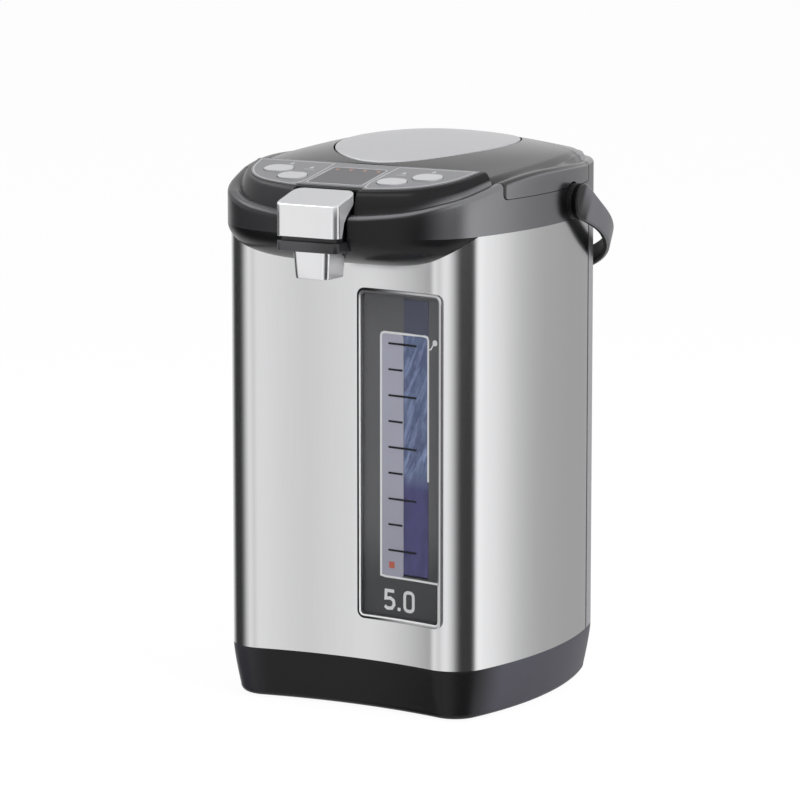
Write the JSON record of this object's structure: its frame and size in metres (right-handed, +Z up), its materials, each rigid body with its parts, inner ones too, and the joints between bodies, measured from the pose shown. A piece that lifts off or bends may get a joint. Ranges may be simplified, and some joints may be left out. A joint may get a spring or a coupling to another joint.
{
  "type": "electric thermo pot",
  "caption": "Electric thermo pot with a steel body on a dark base, water gauge window, spout nose with press cap, hinged lid with press plate, and a swinging carrying handle.",
  "frame": {"origin": "centre of the overall footprint at floor level", "axes": "-Y front with the spout, +X towards the gauge window seen from the front, +Z up"},
  "size_m": [0.213, 0.26, 0.3585],
  "materials": {
    "steel": "fine vertical brushing",
    "rear_steel": "satin",
    "dark_plastic": "glossy charcoal",
    "base_plastic": "semi-gloss charcoal",
    "black_plastic": "fine matte black",
    "panel_plastic": "satin grey",
    "silver_plastic": "satin silver paint",
    "plate_plastic": "satin silver-grey paint",
    "clear_window": "clear moulded window",
    "tube_glass": "clear tube",
    "scale_plastic": "matte lilac grey",
    "white_plastic": "natural moulding",
    "light_plastic": "clear tinted",
    "feet_rubber": "matte",
    "inner_steel": "drawn stainless",
    "spring_steel": "bright wire",
    "cast_aluminium": "as cast",
    "silicone": "milky",
    "board": "green laminate",
    "wool": "felt",
    "motor_steel": "zinc",
    "rotor_plastic": "moulded",
    "brass_pins": "nickel-free"
  },
  "bodies": {
    "pot": {"base_housing": "base_plastic", "bottom_cover": "black_plastic", "rubber_feet": "feet_rubber", "base_screws": "spring_steel", "outer_shell": "steel", "rear_panel": "rear_steel", "power_inlet": "black_plastic", "inlet_pins": "brass_pins", "gauge_bezel": "black_plastic", "gauge_lens": "clear_window", "gauge_scale": "scale_plastic", "sight_tube": "tube_glass", "tube_fittings": "white_plastic", "collar": "dark_plastic", "chin_cover": "dark_plastic", "nose_housing": "black_plastic", "neck_plate": "white_plastic", "control_panel": "panel_plastic", "indicator_lights": "light_plastic", "control_board": "board", "cap_pin": "spring_steel", "cap_spring": "spring_steel", "micro_switch": "black_plastic", "spout": "silver_plastic", "delivery_tube": "silicone", "hinge_pin": "spring_steel", "pivot_bushings": "black_plastic", "inner_pot": "inner_steel", "insulation": "wool", "heater_plate": "cast_aluminium", "thermostats": "white_plastic", "pump_housing": "white_plastic", "pump_motor": "motor_steel", "inlet_hose": "silicone", "outlet_hose": "silicone", "power_board": "board"},
    "lid": {"lid": "dark_plastic", "lid_liner": "inner_steel", "lid_gasket": "silicone", "steam_valve": "white_plastic", "bellows": "silicone", "plate_spring": "spring_steel"},
    "press_plate": {"pump_plate": "plate_plastic"},
    "catch": {"lid_latch": "black_plastic"},
    "cap": {"dispense_cap": "silver_plastic"},
    "key_keep_warm": {"button_keep_warm": "silver_plastic"},
    "key_reboil": {"button_reboil": "silver_plastic"},
    "key_lock": {"button_lock": "silver_plastic"},
    "key_pour": {"button_pour": "silver_plastic"},
    "handle": {"carry_handle": "dark_plastic", "handle_pins": "black_plastic"},
    "rotor": {"pump_rotor": "rotor_plastic"}
  },
  "joints": [
    {"name": "lid_hinge", "type": "hinge", "parent": "pot", "child": "lid", "pos_m": [0, 0.1, 0.339], "axis": [-1, 0, 0], "range_deg": [0, 80]},
    {"name": "plate_press", "type": "slide", "parent": "lid", "child": "press_plate", "axis": [0, 0, -1], "range_m": [0, 0.009], "stiffness_N_per_m": 400, "springref_m": -0.02, "deforming": ["bellows", "plate_spring"]},
    {"name": "catch_slide", "type": "slide", "parent": "lid", "child": "catch", "axis": [0, -1, 0], "range_m": [0, 0.0024]},
    {"name": "cap_press", "type": "hinge", "parent": "pot", "child": "cap", "pos_m": [0, -0.1066, 0.3296], "axis": [1, 0, 0], "range_deg": [0, 4], "stiffness_Nm_per_rad": 0.6, "springref_deg": -2.86, "deforming": ["cap_spring"]},
    {"name": "keep_warm_press", "type": "slide", "parent": "pot", "child": "key_keep_warm", "axis": [0, 0.1772, -0.9842], "range_m": [0, 0.0012], "stiffness_N_per_m": 300, "springref_m": -0.001},
    {"name": "reboil_press", "type": "slide", "parent": "pot", "child": "key_reboil", "axis": [0, 0.1772, -0.9842], "range_m": [0, 0.0012], "stiffness_N_per_m": 300, "springref_m": -0.001},
    {"name": "lock_press", "type": "slide", "parent": "pot", "child": "key_lock", "axis": [0, 0.1772, -0.9842], "range_m": [0, 0.0012], "stiffness_N_per_m": 300, "springref_m": -0.001},
    {"name": "pour_press", "type": "slide", "parent": "pot", "child": "key_pour", "axis": [0, 0.1772, -0.9842], "range_m": [0, 0.0012], "stiffness_N_per_m": 300, "springref_m": -0.001},
    {"name": "handle_swing", "type": "hinge", "parent": "pot", "child": "handle", "pos_m": [0, 0.0375, 0.318], "axis": [1, 0, 0], "range_deg": [0, 116]},
    {"name": "rotor_spin", "type": "hinge", "parent": "pot", "child": "rotor", "pos_m": [0.034, 0.036, 0.03], "axis": [0, 0, 1], "continuous": true}
  ]
}
